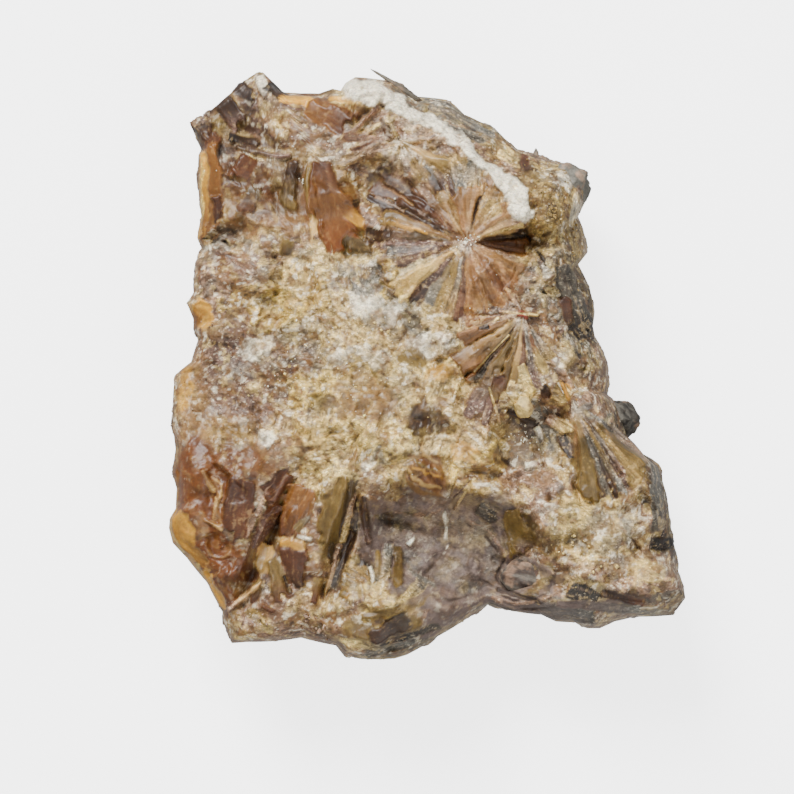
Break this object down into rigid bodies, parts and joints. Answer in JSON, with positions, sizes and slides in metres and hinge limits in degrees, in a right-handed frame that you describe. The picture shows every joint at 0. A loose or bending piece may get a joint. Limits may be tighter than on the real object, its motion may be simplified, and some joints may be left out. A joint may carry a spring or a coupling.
{
  "type": "daisy gypsum specimen",
  "caption": "Broken hand specimen of clay-bound gypsum: flat crystal blades radiate like daisies over one face, beside a white fibrous vein and a clay hollow. Lies on its back.",
  "frame": {"origin": "centre of the bounding box's base: on the plane that the broken back rests on", "axes": "+Z out of the crystal face, +Y towards the narrower end with the white vein, +X to the right as seen when looking down on the crystal face with +Y up"},
  "size_m": [0.0525, 0.06, 0.0193],
  "materials": {
    "gypsum_in_clay": "rough broken crystal mass, waxy on the amber plates and dull on the clay"
  },
  "bodies": {
    "root": {"daisy_gypsum": "gypsum_in_clay"}
  },
  "joints": []
}
